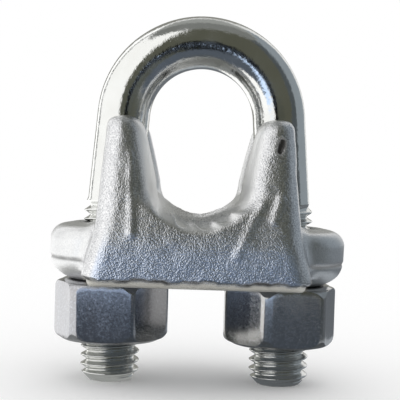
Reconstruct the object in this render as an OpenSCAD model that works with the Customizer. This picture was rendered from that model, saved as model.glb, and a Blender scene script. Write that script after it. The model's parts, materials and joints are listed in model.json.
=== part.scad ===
// Wire rope clip: a U-bolt drawn down through a forged saddle by two hex nuts.
// The origin is the axis of the rope where it lies in the saddle's seat.
// +X runs from leg to leg, +Y along the rope, +Z towards the bow. Millimetres.

/* [Rope seat] */
// Diameter of the wire rope that the clip is made for
rope_d = 16; // [12:0.5:22]
// Gap between that rope and the wall of its seat
rope_gap = 0.8; // [0.3:0.1:1.2]
// Metal between the saddle's underside and the bottom of the seat
seat_floor = 12.5; // [10:0.5:16]
// Angle by which each wall of the groove opens above the seat
groove_flare = 8; // [4:0.5:10]
// How far the seat's mouth reaches in from each end of the saddle
mouth_depth = 7; // [3:0.5:9]
// How much wider the mouth is than the seat, each side
mouth_flare = 2.6; // [1:0.1:3]
// How far the mouth's axis lies below the rope's
mouth_drop = 0.8; // [0.3:0.1:1.2]
// Metal between the seat and each leg hole
web_wall = 2.4; // [2:0.1:4]
// How far below the rope's axis that metal ends
web_drop = 1.3; // [1:0.1:3]

/* [Saddle] */
// Metal round each leg hole
collar_wall = 6.35; // [4:0.05:8]
// Height of the collars round the leg holes
collar_h = 11.5; // [9:0.5:14]
// Radius of the collar's rim
collar_rim = 2.2; // [1:0.1:3]
// Length of the foot along the rope
foot_l = 42; // [35:0.5:52]
// How far the foot reaches past each leg's axis
foot_side = 3.7; // [3:0.1:6]
// How far the walls reach past it, just above the foot
wall_side = 2.4; // [2:0.1:3]
// How far the posts reach past it, at their tops
post_side = 0.8; // [0:0.1:2]
// Length over the posts along the rope, at their tops
post_l = 27; // [22:0.5:32]
// Height of the posts above the underside
post_h = 35; // [30:0.5:42]
// Height at which the posts start to lean in
shoulder_h = 11; // [9:0.5:14]
// Corner radius of the foot
foot_r = 5; // [2:0.5:8]
// Height of the line where the forging dies met
trim_h = 4.4; // [3:0.2:6]
// How far the foot draws in below that line
trim_in = 1.6; // [0.5:0.1:2.5]

/* [U-bolt] */
// Outside diameter of the thread
thread_d = 12.7; // [10.5:0.1:15]
// Pitch of the thread
thread_pitch = 1.954; // [1.5:0.001:2.2]
// How much thinner the plain bar is than the thread
bar_under = 1.4; // [1:0.1:2]
// How far each leg has leaned in where it meets the bow
bow_in = 1.55; // [0.8:0.05:2]
// Room that the bow leaves over two parts of the rope
bow_room = 1.2; // [0.5:0.1:8]
// Radius of the bend where a leg starts to lean in
knee_r = 30; // [25:1:60]
// Height of the thread's upper end above the saddle's underside
thread_h = 15; // [13:0.5:18]
// How far the leg ends reach below the saddle's underside
leg_drop = 21.8; // [18:0.2:30]
// Chamfer on the leg ends
leg_chamfer = 1.8; // [0.5:0.1:2.5]
// Gap round the thread in the saddle's leg holes
hole_gap = 0.75; // [0.4:0.05:1]
// Gap between the lowered bow and the web
web_gap = 0.5; // [0.3:0.1:0.8]

/* [Nuts] */
// Width across the flats
nut_af = 22.2; // [21:0.1:27]
// Height of a nut
nut_h = 13; // [10:0.1:16]
// Width of the flat face inside the chamfer, under the width across the flats
nut_face_in = 1.6; // [0.5:0.1:2.5]
// Angle of the chamfer
nut_chamfer = 30; // [15:1:35]
// Running gap between the thread and the nut's bore
nut_gap = 0.05; // [0.03:0.01:0.1]
// Width of the countersink round the bore
nut_sink = 0.9; // [0.2:0.1:1.2]
// Turn of the left nut at rest
left_turn = -5.6; // [-30:0.2:30]
// Turn of the right nut at rest
right_turn = 13; // [-30:0.2:30]

/* [Hidden] */
$fn = 96;

thread_r = thread_d / 2;
bar_r = thread_r - bar_under / 2;
hole_r = thread_r + hole_gap;
bore_r = thread_r + nut_gap;

// The seat, and the legs on each side of it
seat_r = rope_d / 2 + rope_gap;
rope_h = seat_floor + seat_r;
web_h = rope_h - web_drop;
leg_x = seat_r + web_wall + hole_r;
collar_r = hole_r + collar_wall;
foot_w = 2 * (leg_x + foot_side);
wall_w = 2 * (leg_x + wall_side);
post_w = 2 * (leg_x + post_side);

// The bow, over two parts of the rope
bow_r = leg_x - bow_in;
bow_h = seat_floor + 2 * rope_d + bow_room + bar_r - bow_r;

// Depth of a 60 degree thread, and its flat crest and root
thread_depth = 0.6134 * thread_pitch;
crest_w = thread_pitch / 8;
root_w = thread_pitch / 4;

// The bar's inner side comes closest to the rope below the bow's centre
channel_x = bow_r - bar_r - web_gap + hole_r;

// Angle at which both bends touch the leaning stretch of a leg
knee_x = leg_x - knee_r;
rise = bow_h - thread_h;
lean = acos((bow_r - knee_r) / norm([knee_x, rise])) - atan2(rise, knee_x);
lean_from = [knee_x + knee_r * cos(lean), thread_h + knee_r * sin(lean)];
lean_to = [bow_r * cos(lean), bow_h + bow_r * sin(lean)];

// Lap of the straight bar over the bent bar, and how much thicker it is there
lap = 0.3;
lap_step = 0.03;

// How far the groove's straight walls start inside its round seat
groove_lap = 1;

// Reach of a cut past the faces it opens
past = 5;

// Shapes below are drawn from the saddle's underside, then set on the rope's axis
module from_underside() {
    translate([0, 0, -rope_h]) children();
}

// An outline in X and Z, carried along Y
module along_rope(length) {
    rotate([90, 0, 0]) linear_extrude(length, center = true) children();
}

// An outline in Y and Z, carried along X
module across_rope(width) {
    rotate([90, 0, 90]) linear_extrude(width, center = true) children();
}

module both_sides() {
    children();
    mirror([1, 0, 0]) children();
}

/* U-bolt */

// A length of round bar bent about the origin from one angle to another
module bend(r, from_angle, to_angle) {
    rotate([90, 0, 0])
        rotate([0, 0, from_angle])
            rotate_extrude(angle = to_angle - from_angle) translate([r, 0]) circle(bar_r);
}

// One leg up to its first bend: chamfered end, ringed thread and plain neck
module leg() {
    first = -leg_drop + leg_chamfer + crest_w;
    turns = floor((thread_h - first) / thread_pitch);
    root_r = thread_r - thread_depth;
    flank = (thread_pitch - crest_w - root_w) / 2;
    teeth = [
        for (i = [0 : turns - 1], p = [
            [thread_r, 0],
            [root_r, flank],
            [root_r, flank + root_w],
            [thread_r, thread_pitch - crest_w]
        ]) [p[0], first + i * thread_pitch + p[1]]
    ];
    last = first + turns * thread_pitch - crest_w;
    rotate_extrude() polygon(concat(
        [[0, -leg_drop], [thread_r - leg_chamfer, -leg_drop], [thread_r, first - crest_w]],
        teeth,
        [[bar_r, last + thread_r - bar_r], [bar_r, thread_h], [0, thread_h]]
    ));
}

// The leaning stretch laps a little over both bends, a hair thicker than they are
module leaning_leg() {
    run = norm(lean_to - lean_from);
    translate([lean_from[0], 0, lean_from[1]]) rotate([0, -lean, 0])
        translate([0, 0, -lap]) cylinder(h = run + 2 * lap, r = bar_r + lap_step);
}

module u_bolt() {
    color("gainsboro") from_underside() {
        translate([0, 0, bow_h]) bend(bow_r, lean, 180 - lean);
        both_sides() {
            leaning_leg();
            translate([knee_x, 0, thread_h]) bend(knee_r, 0, lean);
            translate([leg_x, 0, 0]) leg();
        }
    }
}

/* Saddle */

// Front view of foot and walls, seen along the rope
module front_outline() {
    half = [
        [foot_w / 2 - trim_in, 0],
        [foot_w / 2, trim_h],
        [wall_w / 2, shoulder_h],
        [post_w / 2, post_h]
    ];
    polygon(concat(half, [for (i = [len(half) - 1 : -1 : 0]) [-half[i][0], half[i][1]]]));
}

// Side view of foot and posts, seen across the rope
module side_outline() {
    half = [
        [foot_l / 2 - trim_in, 0],
        [foot_l / 2, trim_h],
        [foot_l / 2 - trim_in / 2, shoulder_h],
        [post_l / 2, post_h]
    ];
    polygon(concat(half, [for (i = [len(half) - 1 : -1 : 0]) [-half[i][0], half[i][1]]]));
}

// Plan of the foot: a rectangle with round corners
module foot_plan() {
    square([foot_w - 2 * foot_r, foot_l], center = true);
    square([foot_w, foot_l - 2 * foot_r], center = true);
    for (sx = [-1, 1], sy = [-1, 1])
        translate([sx * (foot_w / 2 - foot_r), sy * (foot_l / 2 - foot_r)]) circle(foot_r);
}

module walls() {
    intersection() {
        along_rope(foot_l) front_outline();
        across_rope(foot_w) side_outline();
        linear_extrude(post_h) foot_plan();
    }
}

// A collar: drawn in below the trim line, with a rounded rim
module collar() {
    rotate_extrude() {
        polygon([
            [0, 0],
            [collar_r - trim_in, 0],
            [collar_r, trim_h],
            [collar_r, collar_h - collar_rim],
            [collar_r - collar_rim, collar_h],
            [0, collar_h]
        ]);
        translate([collar_r - collar_rim, collar_h - collar_rim]) circle(collar_rim);
    }
}

// The round seat, and walls that open from its full width. Their outline starts
// inside the circle, so that the two cross at a clear angle.
module groove_outline() {
    foot = -groove_lap;
    top = post_h + past - rope_h;
    foot_x = seat_r + foot * tan(groove_flare);
    top_x = seat_r + top * tan(groove_flare);
    circle(seat_r);
    polygon([[foot_x, foot], [top_x, top], [-top_x, top], [-foot_x, foot]]);
}

// The seat's two mouths: a cone under the rope, and a wedge between the posts.
// Both start inside the seat, where they are narrower than it is.
module mouths() {
    slope = mouth_flare / mouth_depth;
    inner_y = foot_l / 2 - mouth_depth;
    narrow = seat_r - past * slope;
    wide = seat_r + mouth_flare + past * slope;
    post_lean = atan2((foot_l - post_l) / 2, post_h - shoulder_h);
    for (end = [0, 180]) rotate([0, 0, end]) translate([0, -inner_y, -mouth_drop]) {
        translate([0, past, 0]) rotate([90, 0, 0])
            cylinder(h = mouth_depth + 2 * past, r1 = narrow, r2 = wide);
        rotate([-post_lean, 0, 0]) linear_extrude(post_h) polygon([
            [-narrow, past],
            [narrow, past],
            [wide, -mouth_depth - past],
            [-wide, -mouth_depth - past]
        ]);
    }
}

// Room for a leg: its hole, and the channel between the posts above the collar
module leg_room() {
    translate([leg_x, 0, -past]) cylinder(h = post_h + 2 * past, r = hole_r);
    translate([channel_x, 0, collar_h]) cylinder(h = post_h, r = hole_r);
    translate([channel_x, -hole_r, collar_h]) cube([foot_w, 2 * hole_r, post_h]);
}

module saddle() {
    color("silver") from_underside() difference() {
        union() {
            walls();
            both_sides() translate([leg_x, 0, 0]) collar();
        }
        translate([0, 0, rope_h]) {
            along_rope(foot_l + 2 * past) groove_outline();
            mouths();
        }
        both_sides() leg_room();
        translate([-foot_w / 2, -hole_r, web_h]) cube([foot_w, 2 * hole_r, post_h]);
    }
}

/* Nuts */

// A double-chamfered hex nut that hangs from its upper face
module nut() {
    corner_r = nut_af / 2 / cos(30);
    face_r = (nut_af - nut_face_in) / 2;
    drop = (corner_r + past - face_r) * tan(nut_chamfer);
    sink_r = bore_r + nut_sink;
    translate([0, 0, -nut_h]) difference() {
        intersection() {
            linear_extrude(nut_h) circle(r = corner_r, $fn = 6);
            rotate_extrude() polygon([
                [0, 0],
                [face_r, 0],
                [corner_r + past, drop],
                [corner_r + past, nut_h - drop],
                [face_r, nut_h],
                [0, nut_h]
            ]);
        }
        translate([0, 0, -past]) cylinder(h = nut_h + 2 * past, r = bore_r);
        cylinder(h = nut_sink, r1 = sink_r, r2 = bore_r);
        translate([0, 0, nut_h - nut_sink]) cylinder(h = nut_sink, r1 = bore_r, r2 = sink_r);
    }
}

module left_nut() {
    color("slategray") from_underside()
        translate([-leg_x, 0, 0]) rotate([0, 0, left_turn]) nut();
}

module right_nut() {
    color("slategray") from_underside()
        translate([leg_x, 0, 0]) rotate([0, 0, right_turn]) nut();
}

u_bolt();
saddle();
left_nut();
right_nut();
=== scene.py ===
# Wire rope clip: zinc-plated U-bolt, forged saddle and two heavy hex nuts.
# Shapes are worked out in millimetres from the saddle's underside, with +Z towards the bow.
import json
import math
import bpy
import numpy as np
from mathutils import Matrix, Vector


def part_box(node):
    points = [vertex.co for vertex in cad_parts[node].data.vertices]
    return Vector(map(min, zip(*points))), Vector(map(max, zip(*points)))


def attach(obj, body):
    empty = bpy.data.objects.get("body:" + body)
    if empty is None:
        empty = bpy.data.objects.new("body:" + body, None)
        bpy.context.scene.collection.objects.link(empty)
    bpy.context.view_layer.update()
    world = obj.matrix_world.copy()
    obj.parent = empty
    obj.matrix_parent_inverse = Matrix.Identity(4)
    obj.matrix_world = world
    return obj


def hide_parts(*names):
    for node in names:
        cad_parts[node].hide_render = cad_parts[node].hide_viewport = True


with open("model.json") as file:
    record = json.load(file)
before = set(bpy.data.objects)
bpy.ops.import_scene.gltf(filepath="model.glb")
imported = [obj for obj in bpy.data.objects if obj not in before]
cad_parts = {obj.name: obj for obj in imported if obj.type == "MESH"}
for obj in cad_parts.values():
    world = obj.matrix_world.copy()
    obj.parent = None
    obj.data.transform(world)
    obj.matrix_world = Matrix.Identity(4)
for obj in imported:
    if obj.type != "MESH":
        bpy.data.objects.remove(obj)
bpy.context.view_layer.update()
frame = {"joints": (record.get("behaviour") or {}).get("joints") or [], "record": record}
print("stage: frame loaded")

mm = 0.001
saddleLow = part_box("saddle")[0]
boltLow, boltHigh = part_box("u_bolt")
nutLow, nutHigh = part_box("left_nut")
joints = {joint["name"]: joint for joint in frame["joints"]}

ropeAxis = -saddleLow.z / mm                                # height of the rope's axis over the underside
legX = abs(joints["left_nut_turn"]["pos_m"][0]) / mm        # each leg's distance from the middle
threadRadius = boltHigh.x / mm - legX
legDrop = (saddleLow.z - boltLow.z) / mm                    # leg ends, below the underside
bowTop = (boltHigh.z - saddleLow.z) / mm
nutHeight = (nutHigh.z - nutLow.z) / mm
turnPitch = -2 * math.pi / frame["record"]["behaviour"]["couplings"][0]["ratio"] / mm


# Helpers

# sRGB hex to linear: the standard curve, (c / 12.92) near black and a 2.4 power above it
def linear(hexColour):
    parts = [int(hexColour[i:i + 2], 16) / 255 for i in (1, 3, 5)]
    return tuple(c / 12.92 if c <= 0.04045 else ((c + 0.055) / 1.055) ** 2.4 for c in parts) + (1,)


# Adds one node, sets its properties and input values, and joins links given as {input: socket}
def addNode(tree, kind, props=None, values=None, links=None):
    made = tree.nodes.new(kind)
    for key, value in (props or {}).items():
        setattr(made, key, value)
    for key, value in (values or {}).items():
        made.inputs[key].default_value = value
    for key, socket in (links or {}).items():
        tree.links.new(socket, made.inputs[key])
    return made


# Step from 0 to 1 between two edges: 3t^2 - 2t^3
def smoothStep(low, high, value):
    t = np.clip((value - low) / (high - low), 0, 1)
    return t * t * (3 - 2 * t)


# The larger of two fields, with the crease between them rounded over a width
def roundMax(a, b, width):
    near = np.maximum(width - np.abs(a - b), 0) / width
    return np.maximum(a, b) + near * near * width / 4


# The smaller of two fields, with the crease between them filled over a width
def roundMin(a, b, width):
    return -roundMax(-a, -b, width)


# Value noise: random numbers on a lattice of the given cell, blended by smooth steps, from -1 to 1
def softNoise(points, cell, seed):
    size = 32                                               # cells before the lattice repeats
    table = np.random.default_rng(seed).uniform(-1, 1, (size, size, size))
    place = points / cell + 1000                            # keeps every cell's number positive
    base = np.floor(place).astype(int)
    part = place - base
    part = part * part * (3 - 2 * part)
    total = np.zeros(len(points))
    for corner in np.ndindex(2, 2, 2):
        at = (base + corner) % size
        weight = np.prod(np.where(np.array(corner) == 1, part, 1 - part), axis=1)
        total += weight * table[at[:, 0], at[:, 1], at[:, 2]]
    return total


# Makes a smooth-shaded mesh object from points in mm over the underside and the faces between
# them, and tells the frame which CAD node it replaces and which body it rides on
def makePiece(name, points, faces, material, body, node):
    mesh = bpy.data.meshes.new(name)
    mesh.from_pydata(((points - (0, 0, ropeAxis)) * mm).tolist(), [], faces.tolist())
    mesh.polygons.foreach_set("use_smooth", np.ones(len(mesh.polygons), bool))
    mesh.materials.append(material)
    mesh.update()
    piece = bpy.data.objects.new(name, mesh)
    bpy.context.scene.collection.objects.link(piece)
    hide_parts(node)
    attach(piece, body)
    print("stage:", name, len(mesh.polygons), "faces")
    return piece


# Quads of a grid of rows by columns whose columns close into a ring
def ringFaces(rows, columns):
    row, column = np.meshgrid(np.arange(rows - 1), np.arange(columns), indexing="ij")
    after = (column + 1) % columns
    corners = [row * columns + column, (row + 1) * columns + column,
               (row + 1) * columns + after, row * columns + after]
    return np.stack(corners, -1).reshape(-1, 4)


# Materials

# Starts a metal: its material, node tree, surface shader and Object coordinates
def startMetal(name):
    material = bpy.data.materials.new(name)
    material.use_nodes = True
    tree = material.node_tree
    surface = tree.nodes["Principled BSDF"]
    surface.inputs["Metallic"].default_value = 1
    place = addNode(tree, "ShaderNodeTexCoord").outputs["Object"]
    return material, tree, surface, place


# Bright zinc plate over drawn bar: smooth and mirror-like, faintly yellow, with a soft haze
# that breaks the reflections into streaks
def brightZincBar():
    material, tree, surface, place = startMetal("brightZincBar")
    haze = addNode(tree, "ShaderNodeTexNoise", values={"Scale": 160, "Detail": 5, "Roughness": 0.6},
                   links={"Vector": place})                             # clouds 6 mm across
    grain = addNode(tree, "ShaderNodeTexNoise", values={"Scale": 1400, "Detail": 3, "Roughness": 0.6},
                    links={"Vector": place})                            # plating grain 0.7 mm across
    colour = addNode(tree, "ShaderNodeMix", {"data_type": "RGBA"},
                     {6: linear("#D0D0CB"), 7: linear("#E6E7E6")}, {0: haze.outputs["Fac"]})
    rough = addNode(tree, "ShaderNodeMapRange", values={"From Min": 0.3, "From Max": 0.7,
                    "To Min": 0.05, "To Max": 0.20}, links={"Value": haze.outputs["Fac"]})
    dent = addNode(tree, "ShaderNodeTexNoise", values={"Scale": 420, "Detail": 3, "Roughness": 0.6},
                   links={"Vector": place})                             # draw marks 2.4 mm across
    both = addNode(tree, "ShaderNodeMath", {"operation": "MULTIPLY_ADD"}, values={1: 1.5},
                   links={0: dent.outputs["Fac"], 2: grain.outputs["Fac"]})
    bump = addNode(tree, "ShaderNodeBump", values={"Strength": 0.9, "Distance": 0.00004},
                   links={"Height": both.outputs[0]})
    # Cut threads take the plate duller than the drawn bar
    cut = addNode(tree, "ShaderNodeAttribute", {"attribute_name": "cut"}).outputs["Fac"]
    dull = addNode(tree, "ShaderNodeMath", {"operation": "MULTIPLY_ADD"}, values={1: 0.08},
                   links={0: cut, 2: rough.outputs[0]})
    tree.links.new(colour.outputs[2], surface.inputs["Base Color"])
    tree.links.new(dull.outputs[0], surface.inputs["Roughness"])
    tree.links.new(bump.outputs[0], surface.inputs["Normal"])
    return material


# Hot-dip zinc over a drop-forged skin: pale grey with a coarse sparkle, calmer on the flanks,
# with a painted blue reflection low on the end faces, and white and dull where rope and punch have rubbed,
# partly a painted highlight
def galvanisedForging():
    material, tree, surface, place = startMetal("galvanisedForging")
    skin = addNode(tree, "ShaderNodeAttribute", {"attribute_name": "skin"}).outputs["Fac"]
    patch = addNode(tree, "ShaderNodeTexNoise", values={"Scale": 120, "Detail": 4, "Roughness": 0.6},
                    links={"Vector": place})                            # tone patches 8 mm across
    grit = addNode(tree, "ShaderNodeTexNoise", values={"Scale": 3300, "Detail": 1, "Roughness": 0.5},
                   links={"Vector": place})                             # scale grit 0.3 mm across
    smooth = addNode(tree, "ShaderNodeMix", {"data_type": "RGBA"},
                     {6: linear("#D6D7D7"), 7: linear("#E6E6E5")}, {0: patch.outputs["Fac"]})
    spread = addNode(tree, "ShaderNodeMapRange", values={"From Min": 0.3, "From Max": 0.7},
                     links={"Value": grit.outputs["Fac"]})
    coarse = addNode(tree, "ShaderNodeMix", {"data_type": "RGBA"},
                     {6: linear("#B6B7B9"), 7: linear("#EFEFEF")}, {0: spread.outputs[0]})
    clean = addNode(tree, "ShaderNodeMix", {"data_type": "RGBA"},
                    links={0: skin, 6: smooth.outputs[2], 7: coarse.outputs[2]})
    # Painted blue reflection: the low end faces are mixed towards pale blue; the same mask raises the grain's
    # bump
    paintedBlueSheenAndSparkle = addNode(tree, "ShaderNodeAttribute", {"attribute_name": "paintedBlueSheenAndSparkle"}).outputs["Fac"]
    tinge = addNode(tree, "ShaderNodeMapRange", values={"To Min": 0.0, "To Max": 0.55},
                    links={"Value": paintedBlueSheenAndSparkle})
    blue = addNode(tree, "ShaderNodeMix", {"data_type": "RGBA"}, {7: linear("#D3E2FA")},
                   {0: tinge.outputs[0], 6: clean.outputs[2]})
    # Chalky bloom on the sheared strip, and painted shade, near black, in the pit and the lines
    paintedCreaseShade = addNode(tree, "ShaderNodeAttribute", {"attribute_name": "paintedCreaseShade"}).outputs["Fac"]
    bloom = addNode(tree, "ShaderNodeAttribute", {"attribute_name": "bloom"}).outputs["Fac"]
    chalk = addNode(tree, "ShaderNodeMix", {"data_type": "RGBA"}, {7: linear("#C4C2BA")},
                    {0: bloom, 6: blue.outputs[2]})
    colour = addNode(tree, "ShaderNodeMix", {"data_type": "RGBA"}, {7: linear("#2B2A28")},
                     {0: paintedCreaseShade, 6: chalk.outputs[2]})
    dull = addNode(tree, "ShaderNodeMath", {"operation": "MAXIMUM"}, links={0: paintedCreaseShade, 1: bloom})
    bare = addNode(tree, "ShaderNodeMath", {"operation": "MULTIPLY_ADD"}, values={1: -0.7, 2: 1.0},
                   links={0: dull.outputs[0]})
    # Milky white and less metal on the groove's upper walls: rubbed zinc, and partly a painted highlight
    wornAndPaintedHighlight = addNode(tree, "ShaderNodeAttribute", {"attribute_name": "wornAndPaintedHighlight"}).outputs["Fac"]
    milky = addNode(tree, "ShaderNodeMix", {"data_type": "RGBA"}, {7: linear("#F1F1F0")},
                    {0: wornAndPaintedHighlight, 6: colour.outputs[2]})
    metal = addNode(tree, "ShaderNodeMath", {"operation": "MULTIPLY_ADD"}, values={1: -0.45},
                    links={0: wornAndPaintedHighlight, 2: bare.outputs[0]})
    rough = addNode(tree, "ShaderNodeMapRange", values={"To Min": 0.42, "To Max": 0.32},
                    links={"Value": skin})
    lump = addNode(tree, "ShaderNodeTexNoise", values={"Scale": 800, "Detail": 2, "Roughness": 0.5},
                   links={"Vector": place})                             # lumps 1.2 mm across
    both = addNode(tree, "ShaderNodeMath", {"operation": "MULTIPLY_ADD"}, values={1: 0.6},
                   links={0: lump.outputs["Fac"], 2: grit.outputs["Fac"]})
    depth = addNode(tree, "ShaderNodeMapRange", values={"To Min": 0.3, "To Max": 1.0},
                    links={"Value": skin})
    spark = addNode(tree, "ShaderNodeMath", {"operation": "MULTIPLY_ADD"}, values={1: 0.9},
                    links={0: paintedBlueSheenAndSparkle, 2: depth.outputs[0]})
    # The grain stands out most on the end faces and least on the flanks
    calm = addNode(tree, "ShaderNodeAttribute", {"attribute_name": "calm"}).outputs["Fac"]
    keep = addNode(tree, "ShaderNodeMapRange", values={"To Min": 1.0, "To Max": 0.35},
                   links={"Value": calm})
    level = addNode(tree, "ShaderNodeMath", {"operation": "MULTIPLY"},
                    links={0: spark.outputs[0], 1: keep.outputs[0]})
    height = addNode(tree, "ShaderNodeMath", {"operation": "MULTIPLY"},
                     links={0: both.outputs[0], 1: level.outputs[0]})
    bump = addNode(tree, "ShaderNodeBump", values={"Strength": 1.0, "Distance": 0.00011},
                   links={"Height": height.outputs[0]})
    tree.links.new(milky.outputs[2], surface.inputs["Base Color"])
    tree.links.new(metal.outputs[0], surface.inputs["Metallic"])
    tree.links.new(rough.outputs[0], surface.inputs["Roughness"])
    tree.links.new(bump.outputs[0], surface.inputs["Normal"])
    return material


# Blue-passivated zinc over forged flats: darker and bluer than the bar, with pale specks and
# reflections that are soft at the edge
def blueZincNut():
    material, tree, surface, place = startMetal("blueZincNut")
    bloom = addNode(tree, "ShaderNodeTexNoise", values={"Scale": 90, "Detail": 3, "Roughness": 0.55},
                    links={"Vector": place})                            # passivation bloom 11 mm across
    speck = addNode(tree, "ShaderNodeTexNoise", values={"Scale": 2200, "Detail": 4, "Roughness": 0.75},
                    links={"Vector": place})                            # speckle 0.45 mm across
    colour = addNode(tree, "ShaderNodeMix", {"data_type": "RGBA"},
                     {6: linear("#A1A4A8"), 7: linear("#A9A6A7")}, {0: bloom.outputs["Fac"]})
    # The right nut's plate is greyer and a little lighter
    side = addNode(tree, "ShaderNodeSeparateXYZ", links={0: place}).outputs[0]
    right = addNode(tree, "ShaderNodeMapRange", values={"From Min": -0.003, "From Max": 0.003},
                    links={"Value": side})
    tone = addNode(tree, "ShaderNodeMix", {"data_type": "RGBA"}, {7: linear("#B0AFAD")},
                   {0: right.outputs[0], 6: colour.outputs[2]})
    fleck = addNode(tree, "ShaderNodeMapRange", values={"From Min": 0.5, "From Max": 0.7,
                    "To Min": 0.0, "To Max": 0.45}, links={"Value": speck.outputs["Fac"]})
    mottle = addNode(tree, "ShaderNodeMix", {"data_type": "RGBA"}, {7: linear("#DCE0E6")},
                     {0: fleck.outputs[0], 6: tone.outputs[2]})
    rough = addNode(tree, "ShaderNodeMapRange", values={"From Min": 0.35, "From Max": 0.75,
                    "To Min": 0.10, "To Max": 0.24}, links={"Value": speck.outputs["Fac"]})
    bump = addNode(tree, "ShaderNodeBump", values={"Strength": 0.5, "Distance": 0.000015},
                   links={"Height": speck.outputs["Fac"]})
    tree.links.new(mottle.outputs[2], surface.inputs["Base Color"])
    tree.links.new(rough.outputs[0], surface.inputs["Roughness"])
    tree.links.new(bump.outputs[0], surface.inputs["Normal"])
    return material


# Thread

thread = {
    "pitch": turnPitch,
    "depth": 0.6134,        # of the pitch, a 60 degree form
    "crest": 0.08,          # width of the crest, as a share of the pitch
    "root": 0.14,           # width of the root
    "ease": 0.15,           # share of the flank's climb that is a smooth step
    "nutGap": 0.06,         # running gap of the nut's thread, mm
}


# Radius of a right-hand thread: the flank climbs from root to crest, nearly straight, as the
# phase (height over pitch, less the share of a turn) goes from a half to nought
def threadSurface(height, angle):
    phase = height / thread["pitch"] - angle / (2 * math.pi)
    away = np.abs(phase - np.round(phase)) * 2
    flank = 1 - thread["crest"] - thread["root"]
    straight = np.clip((1 - away - thread["root"]) / flank, 0, 1)
    climb = (1 - thread["ease"]) * straight + thread["ease"] * smoothStep(0, 1, straight)
    return threadRadius - thread["depth"] * thread["pitch"] * (1 - climb)


# U-bolt

bolt = {
    "barUnder": 0.7,        # bar radius under the thread's, mm
    "bowIn": 1.55,          # how far a leg leans in where it meets the bow
    "knee": 30,             # bend radius where a leg starts to lean
    "threadTop": 15,        # end of the full thread, over the underside
    "runOut": 2.6,          # length over which the thread fades out above that
    "endChamfer": 1.9,      # chamfer of the leg ends
    "around": 96,           # points in a ring
    "threadStep": 0.13,     # ring spacing along the thread
    "barStep": 1.0,         # ring spacing along the plain bar
    "wobble": 0.03,         # unevenness of the bent bar's skin
}


# The bar's centre line from the middle of the bow down to the right leg's end: an arc of the
# bow's radius, a straight lean touching both arcs, an arc of the knee's radius, then straight down
def boltPath():
    barRadius = threadRadius - bolt["barUnder"]
    bowRadius = legX - bolt["bowIn"]
    bowHeight = bowTop - bowRadius - barRadius
    kneeX = legX - bolt["knee"]
    rise = bowHeight - bolt["threadTop"]
    lean = math.acos((bowRadius - bolt["knee"]) / math.hypot(kneeX, rise)) - math.atan2(rise, kneeX)
    bowAngles = np.linspace(math.pi / 2, lean, int(bowRadius * 1.6 / bolt["barStep"]))
    kneeAngles = np.linspace(lean, 0, 12)[1:]
    bow = np.stack([bowRadius * np.cos(bowAngles), bowHeight + bowRadius * np.sin(bowAngles)], 1)
    knee = np.stack([kneeX + bolt["knee"] * np.cos(kneeAngles),
                     bolt["threadTop"] + bolt["knee"] * np.sin(kneeAngles)], 1)
    share = np.linspace(0, 1, int((bow[-1, 1] - knee[0, 1]) / bolt["barStep"] * 2))[1:, None]
    straight = bow[-1] + (knee[0] + (knee[0] - knee[1]) * 0.001 - bow[-1]) * share
    down = np.arange(knee[-1, 1], -legDrop, -bolt["threadStep"])[1:, None]
    leg = np.concatenate([np.full_like(down, legX), down], 1)
    end = np.array([[legX, -legDrop]])
    half = np.concatenate([bow, straight[:-1], knee, leg, end])
    # Rings stay close where the run-out needs them
    run = np.concatenate([[0], np.cumsum(np.linalg.norm(np.diff(half, axis=0), axis=1))])
    fadeFrom = run[-1] - legDrop - bolt["threadTop"] - bolt["runOut"]
    fine = np.concatenate([np.arange(0, fadeFrom, bolt["barStep"]),
                           np.arange(fadeFrom, run[-1], bolt["threadStep"]), [run[-1]]])
    return np.stack([np.interp(fine, run, half[:, 0]), np.interp(fine, run, half[:, 1])], 1)


# A ring is carried along the centre line, and its radius is the bar's, or the thread's lower
# down, with a smooth step between them
def makeBolt():
    right = boltPath()
    centre = np.concatenate([(right * (-1, 1))[::-1], right[1:]])
    along = np.gradient(centre, axis=0)
    along /= np.linalg.norm(along, axis=1)[:, None]
    outward = np.stack([-along[:, 1], along[:, 0]], 1)          # away from the rope, in the bow's plane
    angle = np.arange(bolt["around"]) / bolt["around"] * 2 * math.pi
    height = np.repeat(centre[:, 1:], bolt["around"], 1)
    onLeft = centre[:, :1] < 0
    turn = np.where(onLeft, math.pi - angle, angle)
    barRadius = threadRadius - bolt["barUnder"]
    fade = smoothStep(bolt["threadTop"] + bolt["runOut"], bolt["threadTop"], height)
    radius = barRadius + (threadSurface(height, turn) - barRadius) * fade
    # The end chamfer is a cone that widens 1 mm for each mm up the leg
    radius = np.minimum(radius, threadRadius - bolt["endChamfer"] + height + legDrop)
    nought = np.zeros(len(centre))
    across = np.stack([outward[:, 0], nought, outward[:, 1]], 1)
    ring = np.cos(angle)[None, :, None] * across[:, None] + np.sin(angle)[None, :, None] * (0, 1, 0)
    middle = np.stack([centre[:, 0], nought, centre[:, 1]], 1)
    points = middle[:, None] + radius[..., None] * ring
    flat = points.reshape(-1, 3)
    skin = softNoise(flat, 9, 3) * bolt["wobble"] + softNoise(flat, 3, 4) * bolt["wobble"] * 0.4
    flat = flat - ring.reshape(-1, 3) * (np.abs(skin) * (1 - fade.reshape(-1)))[:, None]
    # Each leg ends in a fan of triangles round its middle
    rows, columns = len(centre), bolt["around"]
    caps = np.array([middle[0], middle[-1]])
    faces = ringFaces(rows, columns)
    column = np.arange(columns)
    after = (column + 1) % columns
    first = np.stack([np.full(columns, rows * columns), column, after], 1)
    lastRow = (rows - 1) * columns
    last = np.stack([np.full(columns, rows * columns + 1), lastRow + after, lastRow + column], 1)
    allFaces = faces.tolist() + first.tolist() + last.tolist()
    piece = makePiece("boltBar", np.concatenate([flat, caps]), np.array(allFaces, dtype=object),
                      brightZincBar(), "u_bolt", "u_bolt")
    layer = piece.data.attributes.new("cut", "FLOAT", "POINT")
    layer.data.foreach_set("value", np.concatenate([fade[:, 0].repeat(columns), [1, 1]]).astype(np.float32))


# Nuts

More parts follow.
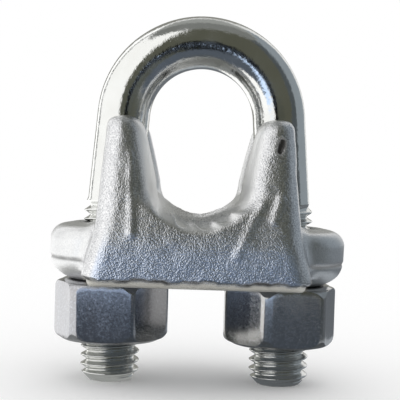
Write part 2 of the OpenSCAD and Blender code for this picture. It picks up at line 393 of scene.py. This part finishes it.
nut = {
    "flats": 22.2,          # width across the flats
    "face": 20.2,           # flat face inside the chamfer, across
    "faceRim": 0.6,         # ring inside the face's edge, where its rounding starts
    "drop": 0.55,           # drop of the chamfer at a flat's middle, mm
    "cornerDrop": 0.6,      # further drop 1 mm beyond it, towards a corner
    "cornerPower": 2.6,     # how fast that grows
    "cornerRound": 1.5,     # width over which two flats blend at a corner
    "edgeRound": 1.0,       # rounding of the edges that the chamfer makes
    "edgeRing": 1.3,        # depth under each edge of a ring that keeps the flats' shading flat
    "sink": 0.9,            # countersink round the thread
    "sinkWide": 0.3,        # how far the countersink's mouth is outside the thread
    "lead": 1.2,            # height over which the bore's thread fades in
    "boreStep": 0.2,        # ring spacing in the bore
    "fineDent": 0.03,       # unevenness 2.5 mm across
    "broadDent": 0.05,      # and 7 mm across
    "around": 288,          # points in a ring
    "turns": {"left_nut": -5.6, "right_nut": 13.0},     # degrees
}


# Rounds each inner corner of a row of profile points: a quadratic curve that starts and ends
# a set distance before and after the corner
def roundProfile(corners, distances, steps):
    share = np.linspace(0, 1, steps)[:, None, None]
    rows = [corners[0]]
    for i in range(1, len(corners) - 1):
        back = corners[i - 1] - corners[i]
        ahead = corners[i + 1] - corners[i]
        reachBack = np.linalg.norm(back, axis=1, keepdims=True)
        reachAhead = np.linalg.norm(ahead, axis=1, keepdims=True)
        cut = np.minimum(distances[i - 1], 0.45 * np.minimum(reachBack, reachAhead))
        start = corners[i] + back / reachBack * cut
        end = corners[i] + ahead / reachAhead * cut
        curve = (1 - share) ** 2 * start + 2 * share * (1 - share) * corners[i] + share ** 2 * end
        rows.extend(curve)
    rows.append(corners[-1])
    return np.array(rows)


# A profile from the countersink over the chamfer, down the flats and back up through the bore,
# whose distance from the axis follows a hexagon (half the flats over the cosine) at each angle
def makeNut(node, side, finish):
    angle = np.arange(nut["around"]) / nut["around"] * 2 * math.pi
    # Near a corner the nearest flat blends with its neighbour
    toFlat = angle % (math.pi / 3) - math.pi / 6
    half = nut["flats"] / 2
    plain = half / np.cos(toFlat)
    other = half / np.cos(math.pi / 3 - np.abs(toFlat))
    wall = roundMin(plain, other, nut["cornerRound"])
    face = nut["face"] / 2
    top = nutHeight / 2
    bore = threadRadius - thread["depth"] * thread["pitch"]
    sinkRadius = threadRadius + nut["sinkWide"]
    ones = np.ones_like(angle)
    upper = [
        np.stack([ones * (sinkRadius - nut["sink"]), ones * (top - nut["sink"])], 1),
        np.stack([ones * sinkRadius, ones * top], 1),
        np.stack([ones * (face - nut["faceRim"]), ones * top], 1),
    ]
    for share in (0.15, 0.3, 0.45, 0.6, 0.72, 0.82, 0.91, 1.0):
        out = face + (wall - face) * share
        shoulder = nut["drop"] * np.clip((out - face) / (half - face), 0, 1) ** 1.5
        shoulder = shoulder + nut["cornerDrop"] * np.maximum(out - half, 0) ** nut["cornerPower"]
        upper.append(np.stack([out, top - shoulder], 1))
    upper.append(np.stack([wall, top - shoulder - nut["edgeRing"]], 1))
    lower = [part * (1, -1) for part in upper[::-1]]
    # Rounding in turn of the countersink's mouth, the face's rim, the chamfer, its edge and the wall
    cuts = [0.25, 0.3] + [0.15] * 7 + [nut["edgeRound"], 0.1]
    profile = roundProfile(upper + lower, cuts + cuts[::-1], 4)
    # The bore carries the bolt's own thread, a running gap larger, back up to the start
    rows = np.arange(nut["sink"] - top, top - nut["sink"], nut["boreStep"])
    worldTurn = angle + math.radians(nut["turns"][node])
    inner = threadSurface(rows[:, None] - top, worldTurn[None]) + thread["nutGap"]
    threadRows = np.stack([inner, np.repeat(rows[:, None], len(angle), 1)], -1)
    toMouth = np.minimum(rows + top - nut["sink"], top - nut["sink"] - rows)
    lead = smoothStep(0, nut["lead"], toMouth)[:, None]
    sinkIn = sinkRadius - nut["sink"]
    threadRows[..., 0] = sinkIn + (np.maximum(threadRows[..., 0], bore) - sinkIn) * lead
    profile = np.concatenate([profile, threadRows[1:]])
    across = np.stack([np.cos(worldTurn), np.sin(worldTurn)], 1)
    points = np.concatenate([profile[..., :1] * across[None], profile[..., 1:]], -1)
    points = points + (side * legX, 0, -top)
    rowCount, columns = profile.shape[:2]
    flat = points.reshape(-1, 3)
    # Dents go inwards only, and stop short of the thread
    dents = softNoise(flat, 2.5, 7 + side) * nut["fineDent"]
    dents = dents + softNoise(flat, 7, 11 + side) * nut["broadDent"]
    outward = (flat - (side * legX, 0, -top)) * (1, 1, 0)
    radius = np.linalg.norm(outward, axis=1)[:, None]
    outer = smoothStep(threadRadius + 1.5, threadRadius + 4, radius)
    flat = flat - outward / radius * (np.abs(dents)[:, None] * outer)
    faces = ringFaces(rowCount, columns)
    column = np.arange(columns)
    after = (column + 1) % columns
    lastRow = (rowCount - 1) * columns
    closing = np.stack([lastRow + column, column, after, lastRow + after], 1)
    faces = np.concatenate([faces, closing])
    makePiece(node.replace("_nut", "HexNut"), flat, faces, finish, node, node)


# Saddle

saddle = {
    "step": 0.42,           # mesh spacing, mm
    "seat": 8.8,            # radius of the rope's seat
    "flare": 10.5,          # degrees by which the groove's walls open
    "mouth": 7,             # length over which the groove widens to each end
    "mouthWide": (0.1, 1.7),        # how much wider at the seat, and more at the walls
    "grooveRound": (1.6, 4.0),      # rounding of the groove's edge at the foot and on the posts
    "postHeight": 35,
    "postHalfWidth": 19.3,
    "footHalfWidth": 23.7,
    "taper": 2.4,           # part of the widening that is a straight taper
    "tuck": (3.2, 0.1),     # height below which the foot draws in, and how strongly
    "postHalfLength": 13.5,
    "footHalfLength": 20.95,
    "corner": (4.5, 3.9),   # rounding of the upright corners at the foot and on the posts
    "crownSide": 0.035,     # doming of the post tops, sideways
    "crownLength": 0.03,    # and front to back
    "topRound": 1.8,        # rounding of the post tops' edge
    "shoulder": 9.5,        # height at which the walls start to lean in
    "collarRadius": 13.4,
    "collarHeight": 12.9,
    "collarRim": 2.5,       # rounding of the collars' upper rim
    "collarBlend": 2.6,     # fillet between collar and post
    "drawIn": (0.9, 3.6),   # how far a collar narrows to the underside: evenly, and by the cube
    "legHole": 7.1,
    "holeRound": 0.9,
    "channelX": 17.75,      # centre of the channel's round end
    "webTop": 20,
    "heel": (17.5, 0.28),   # half length of the flat underside, and the slope beyond it
    "trimLine": 4.8,        # where the dies met, on the collars
    "trimNotch": (0.25, 0.32),      # depth and half height of the groove there
    "trimStep": 0.1,        # shift between the two dies
    "trimStrip": 1.7,       # height of the sheared strip along the foot
    "trimDepth": 0.8,       # how far the strip is cut back
    "strands": 12,          # ridges round the whole seat
    "lay": 78,              # length in which a ridge would go once round
    "ridge": 1.45,          # height of a ridge between two strand marks
    "ridgeWide": (0.9, 1.4),        # half width of a ridge's steep side and its slack side
    "roughness": ((6, 0.18), (2.6, 0.07), (1.1, 0.035)),    # lumps of the skin: width and height
    # Forging ridges on the front: x, height and depth of each end, then both half thicknesses
    "ridges": [
        ((-13.9, 27.0, 0.50), (-13.2, 11.0, 0.40), 0.30, 0.42),
        ((12.8, 17.5, 0.40), (7.9, 7.3, 0.22), 0.42, 0.34),
        ((16.4, 18.6, 0.45), (15.3, 14.2, 0.35), 0.42, 0.36),
    ],
    # A scale pit on one front post: x and height of each end, both half thicknesses, and how far
    # its middle line stands off the post
    "pit": ((16.8, 30.5), (16.1, 28.3), 0.75, 0.4, 0.1),
}


# Length of a vector by parts
def reach(a, b):
    return np.sqrt(a * a + b * b)


# Half length of the foot and posts at a height: upright, then leaning in above the shoulder
def halfLength(z):
    over = z - saddle["shoulder"]
    bend = (over + np.sqrt(over * over + 9)) / 2
    lean = (saddle["footHalfLength"] - saddle["postHalfLength"]) / (saddle["postHeight"] - saddle["shoulder"])
    return saddle["footHalfLength"] - lean * bend


# Half width at a height: a straight taper, and a flare that dies out above the foot
def halfWidth(z):
    taper = saddle["taper"] * (1 - z / saddle["postHeight"])
    flare = saddle["footHalfWidth"] - saddle["postHalfWidth"] - saddle["taper"]
    tuckHeight, tuckStrength = saddle["tuck"]
    tuck = tuckStrength * np.maximum(tuckHeight - z, 0) ** 2
    return saddle["postHalfWidth"] + taper + flare * np.exp(-(z / 8) ** 2) - tuck


# Distance into the rope's groove: a circle below the rope's axis and flared walls above it,
# wider at both mouths, with ridges that wind along the seat as a right-lay rope's strands do
def grooveField(x, y, z, ridges=True):
    h = z - ropeAxis
    up = smoothStep(-9.5, -1, h)
    mouth = np.clip((np.abs(y) - halfLength(z)) / saddle["mouth"] + 1, 0, 1.15)
    wideSeat, wideWall = saddle["mouthWide"]
    radius = saddle["seat"] + (wideSeat + wideWall * up) * mouth ** 1.3
    if ridges:
        turn = np.arctan2(x, -h) / (2 * math.pi) + y / saddle["lay"]
        phase = turn * saddle["strands"]
        away = (phase - np.round(phase)) / saddle["strands"] * 2 * math.pi * saddle["seat"]
        steep, slack = saddle["ridgeWide"]
        crest = np.exp(-np.where(away > 0, away / steep, away / slack) ** 2)
        live = smoothStep(-3.0, -7.0, h) * smoothStep(20.5, 17.5, np.abs(y))
        radius = radius - (crest * 1.25 - 0.2) * saddle["ridge"] * live
    flare = math.radians(saddle["flare"])
    below = reach(x, h) - radius
    above = (np.abs(x) - radius - h * math.tan(flare)) * math.cos(flare)
    return np.where(h < 0, below, above)


# Room for the legs between the front and rear posts: a slot with a round inner end, and the
# full width above the web
def channelField(x, y, z):
    inner = np.minimum(np.abs(x) - saddle["channelX"], 0)
    slot = roundMax(reach(inner, y) - saddle["legHole"], saddle["collarHeight"] - 0.6 - z, 0.8)
    over = roundMax(np.abs(y) - saddle["legHole"], saddle["webTop"] - z, 2.0)
    return roundMin(slot, over, 1.0)


# A ridge along a line between two points, thick at the first and fading to the second
def ridgeField(x, y, z, start, end, thick, thin):
    line = np.subtract(end, start)
    share = np.clip(((x - start[0]) * line[0] + (y - start[1]) * line[1] + (z - start[2]) * line[2])
                    / (line @ line), 0, 1)
    gap = np.sqrt((x - start[0] - share * line[0]) ** 2 + (y - start[1] - share * line[1]) ** 2
                  + (z - start[2] - share * line[2]) ** 2)
    return gap - (thick + (thin - thick) * share)


# Height of the sheared strip's ragged edge: three sines of unlike lengths
def raggedEdge(x, y):
    wave = 0.2 * np.sin(x * 0.5 + 0.7) + 0.14 * np.sin(x * 1.3 + y) + 0.07 * np.sin(x * 3.1 + 2 * y)
    return saddle["trimStrip"] + wave


# Distance from the scale pit: a slanting line just off the post's front, with a thickness
def pitField(x, y, z):
    (topX, topZ), (lowX, lowZ), thick, thin, off = saddle["pit"]
    front = -halfLength((topZ + lowZ) / 2) - off
    return ridgeField(x, y, z, (topX, front, topZ), (lowX, front, lowZ), thick, thin)


# Distance from the saddle's surface, negative inside: a block with round corners, less the
# channel, plus the ridges and the two collars, less the rope's groove and the leg holes
def saddleField(x, y, z):
    ax = np.abs(x)
    ragged = raggedEdge(x, y)
    trim = smoothStep(ragged + 0.2, ragged - 0.2, z) * saddle["trimDepth"]
    width = halfWidth(z) - trim
    length = halfLength(z) - trim
    cornerLow, cornerHigh = saddle["corner"]
    corner = cornerLow + (cornerHigh - cornerLow) * smoothStep(10, 34, z)
    sideways = (ax - width) + corner
    lengthways = (np.abs(y) - length) + corner
    block = reach(np.maximum(sideways, 0), np.maximum(lengthways, 0))
    block = block + np.minimum(np.maximum(sideways, lengthways), 0) - corner
    # Post tops are domed: lower towards the outside and the end faces
    crown = saddle["postHeight"] - saddle["crownSide"] * (ax - 15) ** 2
    crown = crown - saddle["crownLength"] * (np.abs(y) - 9.5) ** 2
    block = roundMax(block, z - crown, saddle["topRound"])
    block = roundMax(block, -channelField(x, y, z), 1.0)
    # Forging ridges on the end faces; the rear end has them turned half round
    for start, end, thick, thin in saddle["ridges"]:
        for side in (1, -1):
            first = (side * start[0], -side * (halfLength(start[1]) - start[2]), start[1])
            second = (side * end[0], -side * (halfLength(end[1]) - end[2]), end[1])
            block = roundMin(block, ridgeField(x, y, z, first, second, thick, thin), 1.2)
    block = roundMax(block, -pitField(x, y, z), 0.3)
    # Collars: widest at the trim line, drawn in below it, with a round rim above
    trimLine = saddle["trimLine"]
    below = np.clip((trimLine - z) / trimLine, 0, 1)
    step = saddle["trimStep"] * (smoothStep(-0.2, 0.2, z - trimLine) - 1)
    evenly, cubed = saddle["drawIn"]
    rim = saddle["collarRadius"] + step - (evenly * below + cubed * below ** 3)
    away = reach(ax - legX, y)
    notchDepth, notchHalf = saddle["trimNotch"]
    notch = notchDepth * np.exp(-((z - trimLine) / notchHalf) ** 2)
    rimRound = saddle["collarRim"]
    rimSide = (away - rim + notch) + rimRound
    rimTop = (z - saddle["collarHeight"] + 0.010 * away * away) + rimRound
    collar = reach(np.maximum(rimSide, 0), np.maximum(rimTop, 0))
    collar = collar + np.minimum(np.maximum(rimSide, rimTop), 0) - rimRound
    body = roundMin(block, collar, saddle["collarBlend"])
    roundLow, roundHigh = saddle["grooveRound"]
    grooveRound = roundLow + (roundHigh - roundLow) * smoothStep(12, 20, z)
    body = roundMax(body, -grooveField(x, y, z), grooveRound)
    body = roundMax(body, saddle["legHole"] - away, saddle["holeRound"])
    heelLength, heelSlope = saddle["heel"]
    body = roundMax(body, heelSlope * np.maximum(np.abs(y) - heelLength, 0) - z, 0.5)
    # Nothing stands past the foot's own length
    return np.maximum(body, np.abs(y) - saddle["footHalfLength"] - 0.02)


# Slope of the field at each point, by central differences
def fieldSlope(points, nudge=0.02):
    parts = []
    for axis in np.eye(3) * nudge:
        parts.append(saddleField(*(points + axis).T) - saddleField(*(points - axis).T))
    return np.stack(parts, 1) / (2 * nudge)


# Surface of a field sampled on a grid: one point in each cell that the surface crosses, at the
# mean of its edge crossings, and a quad round each grid edge whose two ends differ
def surfaceNet(field, low, step):
    inside = field < 0
    shape = np.array(field.shape) - 1
    blocks = [np.s_[i:shape[0] + i, j:shape[1] + j, k:shape[2] + k] for i, j, k in np.ndindex(2, 2, 2)]
    count = sum(inside[block].astype(int) for block in blocks)
    crossed = (count > 0) & (count < 8)
    cells = np.argwhere(crossed)
    index = np.full(crossed.shape, -1)
    index[crossed] = np.arange(len(cells))
    corners = np.array(list(np.ndindex(2, 2, 2)))
    values = np.stack([field[tuple((cells + corner).T)] for corner in corners], 1)
    total = np.zeros((len(cells), 3))
    hits = np.zeros(len(cells))
    for a in range(8):
        for b in range(a + 1, 8):
            if np.abs(corners[a] - corners[b]).sum() != 1:
                continue
            cuts = (values[:, a] < 0) != (values[:, b] < 0)
            share = values[cuts, a] / (values[cuts, a] - values[cuts, b])
            total[cuts] += corners[a] + share[:, None] * (corners[b] - corners[a])
            hits[cuts] += 1
    points = low + (cells + total / hits[:, None]) * step
    faces = []
    for axis in range(3):
        u, v = (axis + 1) % 3, (axis + 2) % 3
        first = np.swapaxes(inside, 0, axis)[:-1]
        second = np.swapaxes(inside, 0, axis)[1:]
        edges = np.argwhere(np.swapaxes(first != second, 0, axis))
        edges = edges[(edges[:, u] > 0) & (edges[:, v] > 0)]
        leaves = inside[tuple(edges.T)]
        around = []
        for du, dv in ((1, 1), (0, 1), (0, 0), (1, 0)):
            cell = edges.copy()
            cell[:, u] -= du
            cell[:, v] -= dv
            around.append(index[tuple(cell.T)])
        quads = np.stack(around, 1)
        quads[~leaves] = quads[~leaves][:, ::-1]
        faces.append(quads)
    return points, np.concatenate(faces)


# Points and faces of the saddle's surface: the net's points slide along the field's slope until
# the field there is nought
def saddleSurface():
    step = saddle["step"]
    low = np.array([-33.0, -22.0, -1.0])
    high = np.array([33.0, 22.0, 36.5])
    axes = [np.arange(a, b + step, step) for a, b in zip(low, high)]
    grid = np.meshgrid(*axes, indexing="ij")
    points, faces = surfaceNet(saddleField(*grid), low, step)
    for _ in range(3):
        slope = fieldSlope(points)
        points = points - slope * (saddleField(*points.T) / (slope ** 2).sum(1))[:, None]
    print("stage: saddle surface found,", len(points), "points")
    return points, faces


def makeSaddle():
    points, faces = saddleSurface()
    # Where the rope and the trimming die have rubbed, the forged skin is smooth
    x, y, z = points.T
    seatGap = np.abs(grooveField(x, y, z, ridges=False))
    holeGap = np.abs(reach(np.abs(x) - legX, y) - saddle["legHole"])
    offHole = smoothStep(0.2, 1.0, holeGap)
    onCollar = smoothStep(0.3, 1.2, np.abs(x) - halfWidth(z))
    skin = smoothStep(0.2, 1.3, seatGap) * offHole * smoothStep(0.4, 2.2, z) * (1 - 0.7 * onCollar)
    slope = fieldSlope(points)
    normal = slope / np.linalg.norm(slope, axis=1)[:, None]
    # Painted blue reflection: low down on the end faces, where they face front or back
    paintedBlueSheenAndSparkle = smoothStep(13, 4, z) * skin * smoothStep(0.8, 0.97, np.abs(normal[:, 1]))
    calm = smoothStep(0.5, 0.85, np.abs(normal[:, 0]))
    # The skin is pitted inwards only, so the outside sizes stay
    rough = sum(softNoise(points, width, 21 + i) * height
                for i, (width, height) in enumerate(saddle["roughness"]))
    sink = -np.abs(rough) * (0.25 + 0.75 * skin) * smoothStep(0.0, 0.6, z)
    points = points + normal * sink[:, None]
    piece = makePiece("forgedSaddle", points, faces, galvanisedForging(), "saddle", "saddle")
    # Shade is painted near black in the pit, in the parting groove and along the sheared strip's ragged edge
    x, y, z = points.T
    overStrip = z - raggedEdge(x, y)
    patchy = smoothStep(-0.35, 0.25, softNoise(points, 3.5, 31))
    line = np.exp(-(overStrip / 0.38) ** 2) * (np.abs(y) > 17) * patchy
    pit = np.exp(-(np.maximum(pitField(x, y, z) - 0.1, 0) / 0.2) ** 2)
    parting = np.exp(-((z - saddle["trimLine"]) / 0.36) ** 2) * onCollar * (0.45 + 0.35 * patchy)
    bloom = smoothStep(0.1, -0.5, overStrip) * smoothStep(-0.1, 0.3, z) * (1 - onCollar)
    # Rubbed zinc and a painted highlight, strongest high on the groove's walls
    wornAndHighlightUp = 0.2 * smoothStep(9, 11, z) + 0.8 * smoothStep(16, 22, z)
    marks = {
        "skin": skin,                                       # 1 where the forged grain is left
        # Painted shade in the pit, the parting groove and the crease at the strip's edge
        "paintedCreaseShade": np.clip(0.95 * line + pit + parting, 0, 1),
        "paintedBlueSheenAndSparkle": paintedBlueSheenAndSparkle,                                       # painted blue reflection low on the end faces
        "bloom": bloom,                                     # chalky white on the sheared strip
        "wornAndPaintedHighlight": 0.6 * smoothStep(1.6, 0.2, seatGap) * offHole * wornAndHighlightUp,
        "calm": calm,                                       # flanks that the die wiped smooth
    }
    for name, values in marks.items():
        layer = piece.data.attributes.new(name, "FLOAT", "POINT")
        layer.data.foreach_set("value", values.astype(np.float32))


nutFinish = blueZincNut()
makeBolt()
makeNut("left_nut", -1, nutFinish)
makeNut("right_nut", 1, nutFinish)
makeSaddle()


# Studio

studio = {
    "distance": 240,        # camera to the plane of the legs, mm
    "cameraHeight": 26,     # over the saddle's underside
    "cameraX": 0.0,
    "span": 86.5,           # width of the view at that plane
    "aimHeight": 17.5,      # height at the middle of the view
    "roll": -1.8,           # degrees
    "floorHalf": 3000,      # half the floor's width
    # Cards round the clip: azimuth from and to (0 in front, 90 on the right), elevation from and to,
    # distance in mm, colour and strength
    "cards": {
        "frontOlive": (-19, 56, -4, 58, 620, "#5E5F54", 1.0),
        "leftWhite": (-117, -19, -4, 58, 600, "#FFFFFF", 1.3),
        "leftFrame": (-125, -117, -4, 58, 600, "#77797A", 1.0),
        "leftFar": (-145, -125, -4, 58, 600, "#FFFFFF", 1.5),
        "rightShade": (56, 80, -4, 58, 640, "#565C60", 1.0),
        "rightBlue": (80, 140, -4, 58, 640, "#9AA3AB", 1.0),
        "backGrey": (160, 215, -4, 50, 640, "#94948E", 1.0),
        "topGrey": (-110, 110, 58, 90, 660, "#868886", 1.0),
        "topBack": (110, 250, 58, 90, 660, "#A8AAA8", 1.0),
    },
    "frontDistance": 80,    # upright cards to the plane of the legs
    # Upright cards in front: left, right, bottom and top in mm, and colour
    "frontCards": {
        "frontBlack": (-8, 9, -22, 36, "#060706"),
        "frontRight": (9, 50, -18, 24, "#56584F"),
    },
    # Cards that lie over the floor: azimuth from and to, radius from and to in mm, colour, strength
    "floorCards": {
        "underFront": (-62, 62, 0.5, 48, "#5A6066", 1.0),
        "underRight": (62, 180, 0.5, 48, "#666A6E", 1.0),
        "underLeft": (180, 298, 0.5, 48, "#A8AAA9", 1.0),
        "nearWhite": (-165, -42, 48, 66, "#BCBCBA", 1.0),
        "lowWhite": (-165, -42, 66, 620, "#FFFFFF", 1.4),
        "lowGrey": (-42, 60, 48, 205, "#5B636E", 1.0),
        "lowBlue": (-42, 30, 205, 620, "#B8CBE8", 1.95),
        "lowOlive": (30, 90, 220, 620, "#5F625B", 1.0),
        "nearRight": (60, 195, 48, 80, "#B8BEC4", 1.0),
        "sideDark": (60, 90, 80, 220, "#60666C", 1.0),
        "lowRight": (90, 195, 80, 640, "#757A80", 1.0),
    },
}


# A card that shows in reflections only
def addCard(name, points, colour, strength):
    rows, columns = points.shape[:2]
    row, column = np.meshgrid(np.arange(rows - 1), np.arange(columns - 1), indexing="ij")
    start = (row * columns + column).reshape(-1)
    faces = np.stack([start, start + 1, start + columns + 1, start + columns], 1)
    mesh = bpy.data.meshes.new(name)
    mesh.from_pydata((points.reshape(-1, 3) * mm).tolist(), [], faces.tolist())
    material = bpy.data.materials.new(name)
    material.use_nodes = True
    tree = material.node_tree
    tree.nodes.remove(tree.nodes["Principled BSDF"])
    glow = addNode(tree, "ShaderNodeEmission", values={"Color": linear(colour), "Strength": strength})
    tree.links.new(glow.outputs[0], tree.nodes["Material Output"].inputs[0])
    mesh.materials.append(material)
    card = bpy.data.objects.new(name, mesh)
    bpy.context.scene.collection.objects.link(card)
    card.visible_camera = False
    card.visible_diffuse = False
    card.visible_shadow = False


# A patch of a sphere round the clip
def roundCard(name, azFrom, azTo, elFrom, elTo, away, colour, strength):
    turns = np.radians(np.linspace(azFrom, azTo, 24))
    rises = np.radians(np.linspace(elFrom, elTo, 10))
    turn, up = np.meshgrid(turns, rises)
    points = np.stack([np.sin(turn) * np.cos(up), -np.cos(turn) * np.cos(up), np.sin(up)], -1)
    addCard(name, points * away, colour, strength)


# A sector of a ring 0.1 mm over the floor
def floorCard(name, azFrom, azTo, inner, outer, colour, strength):
    turn, away = np.meshgrid(np.radians(np.linspace(azFrom, azTo, 24)), np.linspace(inner, outer, 2))
    level = np.full_like(turn, boltLow.z / mm + 0.1)
    addCard(name, np.stack([np.sin(turn) * away, -np.cos(turn) * away, level], -1), colour, strength)


# An upright flat card, seen by the lower half of the bow
def frontCard(name, left, right, low, high, colour):
    across, level = np.meshgrid([left, right], [low, high])
    depth = np.full_like(across, -studio["frontDistance"])
    addCard(name, np.stack([across, depth, level], -1).astype(float), colour, 1.0)


# A matt white sheet under the leg ends
def addFloor():
    size = studio["floorHalf"] * mm
    level = boltLow.z
    mesh = bpy.data.meshes.new("paleFloor")
    corners = ((-1, -1), (1, -1), (1, 1), (-1, 1))
    mesh.from_pydata([(x * size, y * size, level) for x, y in corners], [], [(0, 1, 2, 3)])
    material = bpy.data.materials.new("paleFloor")
    material.use_nodes = True
    surface = material.node_tree.nodes["Principled BSDF"]
    surface.inputs["Base Color"].default_value = (1, 1, 1, 1)
    surface.inputs["Roughness"].default_value = 1
    surface.inputs["Specular IOR Level"].default_value = 0
    mesh.materials.append(material)
    floor = bpy.data.objects.new("paleFloor", mesh)
    bpy.context.scene.collection.objects.link(floor)


# Even white light from all round
def addWorld():
    world = bpy.data.worlds.new("whiteRoom")
    bpy.context.scene.world = world
    world.use_nodes = True
    back = world.node_tree.nodes["Background"]
    back.inputs["Color"].default_value = (1, 1, 1, 1)
    back.inputs["Strength"].default_value = 1


# The lens gives the span at its distance: sensor width times distance over span
def addCamera():
    data = bpy.data.cameras.new("camera")
    data.sensor_width = 36
    data.lens = 36 * studio["distance"] / studio["span"]
    data.clip_start = 0.01
    camera = bpy.data.objects.new("camera", data)
    bpy.context.scene.collection.objects.link(camera)
    height = studio["cameraHeight"] - ropeAxis
    camera.location = (studio["cameraX"] * mm, -studio["distance"] * mm, height * mm)
    tilt = math.atan2(studio["aimHeight"] - studio["cameraHeight"], studio["distance"])
    camera.rotation_euler = (math.pi / 2 + tilt, math.radians(studio["roll"]), 0)
    bpy.context.scene.camera = camera


addFloor()
addWorld()
for cardName, card in studio["frontCards"].items():
    frontCard(cardName, *card)
for cardName, card in studio["cards"].items():
    roundCard(cardName, *card)
for cardName, card in studio["floorCards"].items():
    floorCard(cardName, *card)
addCamera()
bpy.context.scene.view_settings.view_transform = "Standard"
print("stage: studio set")
